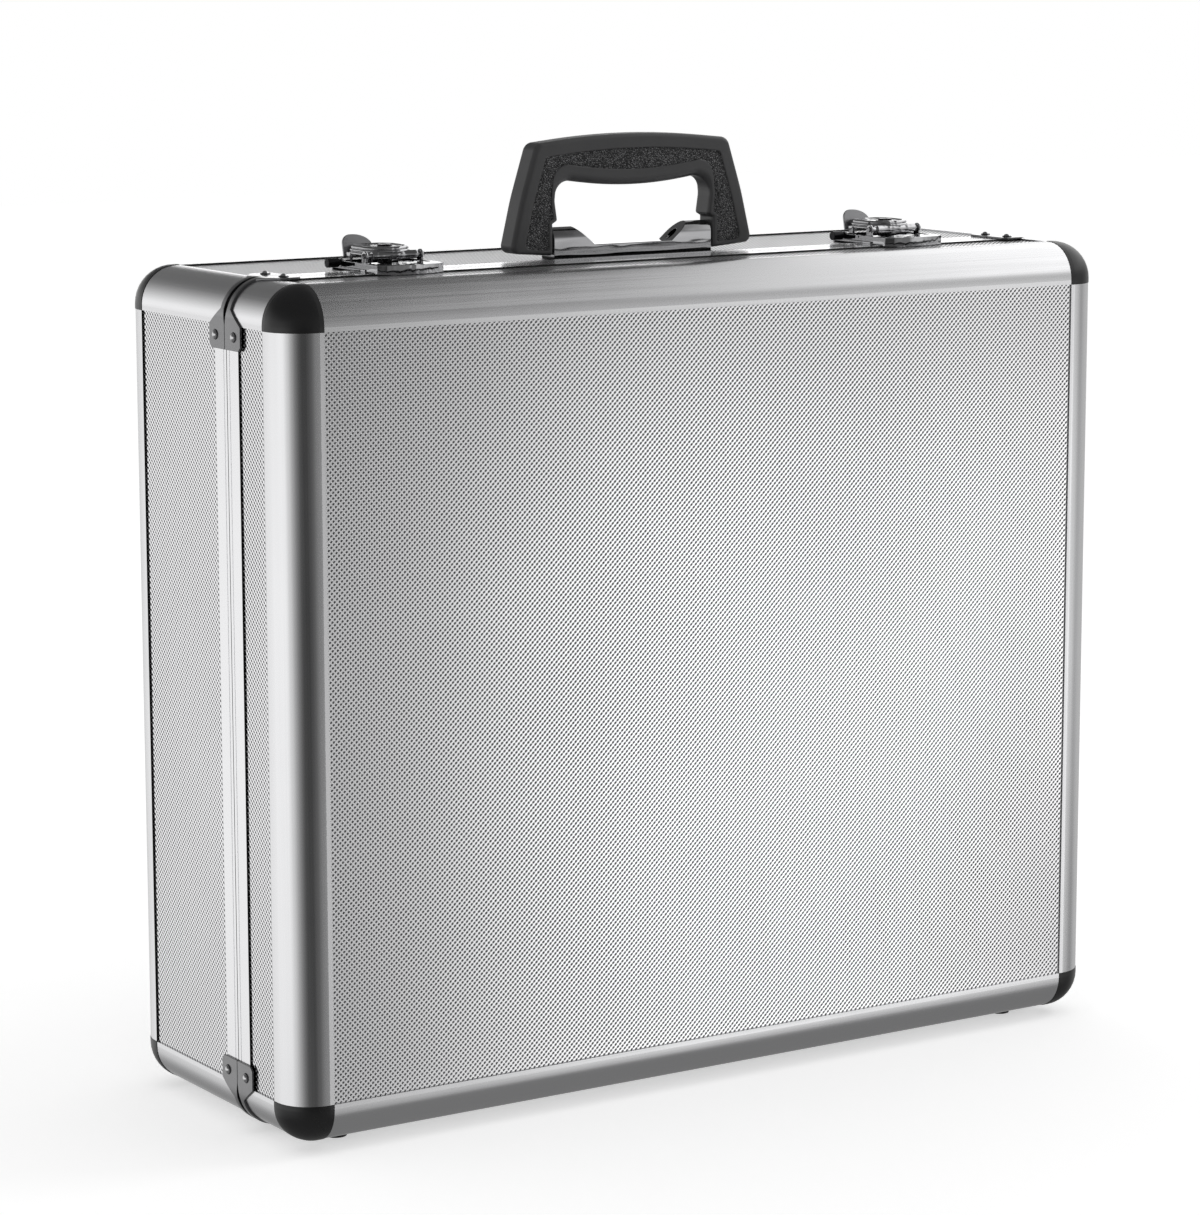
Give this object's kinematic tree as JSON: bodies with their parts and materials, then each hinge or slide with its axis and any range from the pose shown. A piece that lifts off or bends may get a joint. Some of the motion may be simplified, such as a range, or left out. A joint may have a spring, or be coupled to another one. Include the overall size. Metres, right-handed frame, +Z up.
{
  "type": "aluminium-framed tool case",
  "caption": "Upright hard tool case: dimpled boards in rounded aluminium edges with moulded corner caps, hinged lid, fold-down handle and key-locking draw latches.",
  "frame": {"origin": "centre of the bounding box on the plane that the feet stand on", "axes": "+X along the width to the right of someone facing the lid, -Y out of the lid, +Z up to the handle"},
  "size_m": [0.4952, 0.1686, 0.4802],
  "materials": {
    "edge_aluminium": "satin anodised extrusion, drawn along its length",
    "frame_aluminium": "bright anodised extrusion",
    "dimpled_panel": "board faced with silver aluminium foil, embossed all over with small staggered round dimples",
    "cap_plastic": "satin black moulded plastic",
    "strap_steel": "gunmetal-grey pressed steel, satin",
    "rivet_steel": "bright domed rivet with a darker edge",
    "lining_foam": "charcoal soft foam",
    "foot_rubber": "matt black rubber",
    "zinc_steel": "zinc-plated steel",
    "latch_chrome": "polished nickel-chrome plate",
    "black_steel": "blackened steel",
    "handle_plastic": "black moulded plastic, smooth border round a leather-grained field"
  },
  "bodies": {
    "base": {"base_rear_panel": "dimpled_panel", "base_top_panel": "dimpled_panel", "base_bottom_panel": "dimpled_panel", "base_left_panel": "dimpled_panel", "base_right_panel": "dimpled_panel", "base_rim_top": "edge_aluminium", "base_rim_bottom": "edge_aluminium", "base_rim_left": "edge_aluminium", "base_rim_right": "edge_aluminium", "base_corner_rails": "edge_aluminium", "base_corner_caps": "cap_plastic", "base_frame_top": "frame_aluminium", "base_frame_bottom": "frame_aluminium", "base_frame_sides": "frame_aluminium", "base_corner_straps": "strap_steel", "base_rivets": "rivet_steel", "base_lining": "lining_foam", "base_feet": "foot_rubber", "base_hinge_leaves": "zinc_steel", "base_stay_studs": "zinc_steel", "hinge_pins": "zinc_steel", "handle_bracket": "latch_chrome", "handle_pins": "latch_chrome", "latch_left_plate": "latch_chrome", "latch_right_plate": "latch_chrome", "latch_pins": "latch_chrome"},
    "lid": {"lid_front_panel": "dimpled_panel", "lid_top_panel": "dimpled_panel", "lid_bottom_panel": "dimpled_panel", "lid_left_panel": "dimpled_panel", "lid_right_panel": "dimpled_panel", "lid_rim_top": "edge_aluminium", "lid_rim_bottom": "edge_aluminium", "lid_rim_left": "edge_aluminium", "lid_rim_right": "edge_aluminium", "lid_corner_rails": "edge_aluminium", "lid_corner_caps": "cap_plastic", "lid_frame_top": "frame_aluminium", "lid_frame_bottom": "frame_aluminium", "lid_frame_sides": "frame_aluminium", "lid_corner_straps": "strap_steel", "lid_rivets": "rivet_steel", "lid_lining": "lining_foam", "lid_feet": "foot_rubber", "lid_hinge_leaves": "zinc_steel", "lid_catches": "latch_chrome", "lid_stay_studs": "zinc_steel"},
    "handle": {"handle_grip": "handle_plastic"},
    "lever_left": {"latch_left_lever": "latch_chrome", "latch_left_rod": "black_steel"},
    "hook_left": {"latch_left_hook": "latch_chrome"},
    "lock_left": {"latch_left_lock": "black_steel"},
    "stay_left_base": {"stay_left_base_arm": "zinc_steel"},
    "stay_left_lid": {"stay_left_lid_arm": "zinc_steel"},
    "lever_right": {"latch_right_lever": "latch_chrome", "latch_right_rod": "black_steel"},
    "hook_right": {"latch_right_hook": "latch_chrome"},
    "lock_right": {"latch_right_lock": "black_steel"},
    "stay_right_base": {"stay_right_base_arm": "zinc_steel"},
    "stay_right_lid": {"stay_right_lid_arm": "zinc_steel"}
  },
  "joints": [
    {"name": "lid_hinge", "type": "hinge", "parent": "base", "child": "lid", "pos_m": [0, -0.0265, 0.0023], "axis": [1, 0, 0], "range_deg": [0, 100]},
    {"name": "handle_swing", "type": "hinge", "parent": "base", "child": "handle", "pos_m": [0, 0, 0.4278], "axis": [1, 0, 0], "range_deg": [-78, 78]},
    {"name": "latch_left_lift", "type": "hinge", "parent": "base", "child": "lever_left", "pos_m": [-0.152, -0.024, 0.4266], "axis": [1, 0, 0], "range_deg": [0, 110]},
    {"name": "latch_left_hook_turn", "type": "hinge", "parent": "lever_left", "child": "hook_left", "pos_m": [-0.152, -0.0045, 0.4226], "axis": [1, 0, 0], "range_deg": [-110, 0]},
    {"name": "latch_left_key_turn", "type": "hinge", "parent": "lever_left", "child": "lock_left", "pos_m": [-0.152, -0.0161, 0.4272], "axis": [0, 0, 1], "range_deg": [0, 90]},
    {"name": "stay_left_base_turn", "type": "hinge", "parent": "base", "child": "stay_left_base", "pos_m": [-0.2335, -0.0045, 0.1523], "axis": [1, 0, 0], "range_deg": [0, 100]},
    {"name": "stay_left_lid_turn", "type": "hinge", "parent": "lid", "child": "stay_left_lid", "pos_m": [-0.2315, -0.0485, 0.1523], "axis": [1, 0, 0], "range_deg": [-100, 0]},
    {"name": "latch_right_lift", "type": "hinge", "parent": "base", "child": "lever_right", "pos_m": [0.152, -0.024, 0.4266], "axis": [1, 0, 0], "range_deg": [0, 110]},
    {"name": "latch_right_hook_turn", "type": "hinge", "parent": "lever_right", "child": "hook_right", "pos_m": [0.152, -0.0045, 0.4226], "axis": [1, 0, 0], "range_deg": [-110, 0]},
    {"name": "latch_right_key_turn", "type": "hinge", "parent": "lever_right", "child": "lock_right", "pos_m": [0.152, -0.0161, 0.4272], "axis": [0, 0, 1], "range_deg": [0, 90]},
    {"name": "stay_right_base_turn", "type": "hinge", "parent": "base", "child": "stay_right_base", "pos_m": [0.2335, -0.0045, 0.1523], "axis": [1, 0, 0], "range_deg": [0, 100]},
    {"name": "stay_right_lid_turn", "type": "hinge", "parent": "lid", "child": "stay_right_lid", "pos_m": [0.2315, -0.0485, 0.1523], "axis": [1, 0, 0], "range_deg": [-100, 0]}
  ],
  "couplings": [
    {"joint": "latch_left_hook_turn", "follows": "latch_left_lift", "ratio": -1},
    {"joint": "stay_left_base_turn", "follows": "lid_hinge", "ratio": 1},
    {"joint": "stay_left_lid_turn", "follows": "lid_hinge", "ratio": -1},
    {"joint": "latch_right_hook_turn", "follows": "latch_right_lift", "ratio": -1},
    {"joint": "stay_right_base_turn", "follows": "lid_hinge", "ratio": 1},
    {"joint": "stay_right_lid_turn", "follows": "lid_hinge", "ratio": -1}
  ]
}
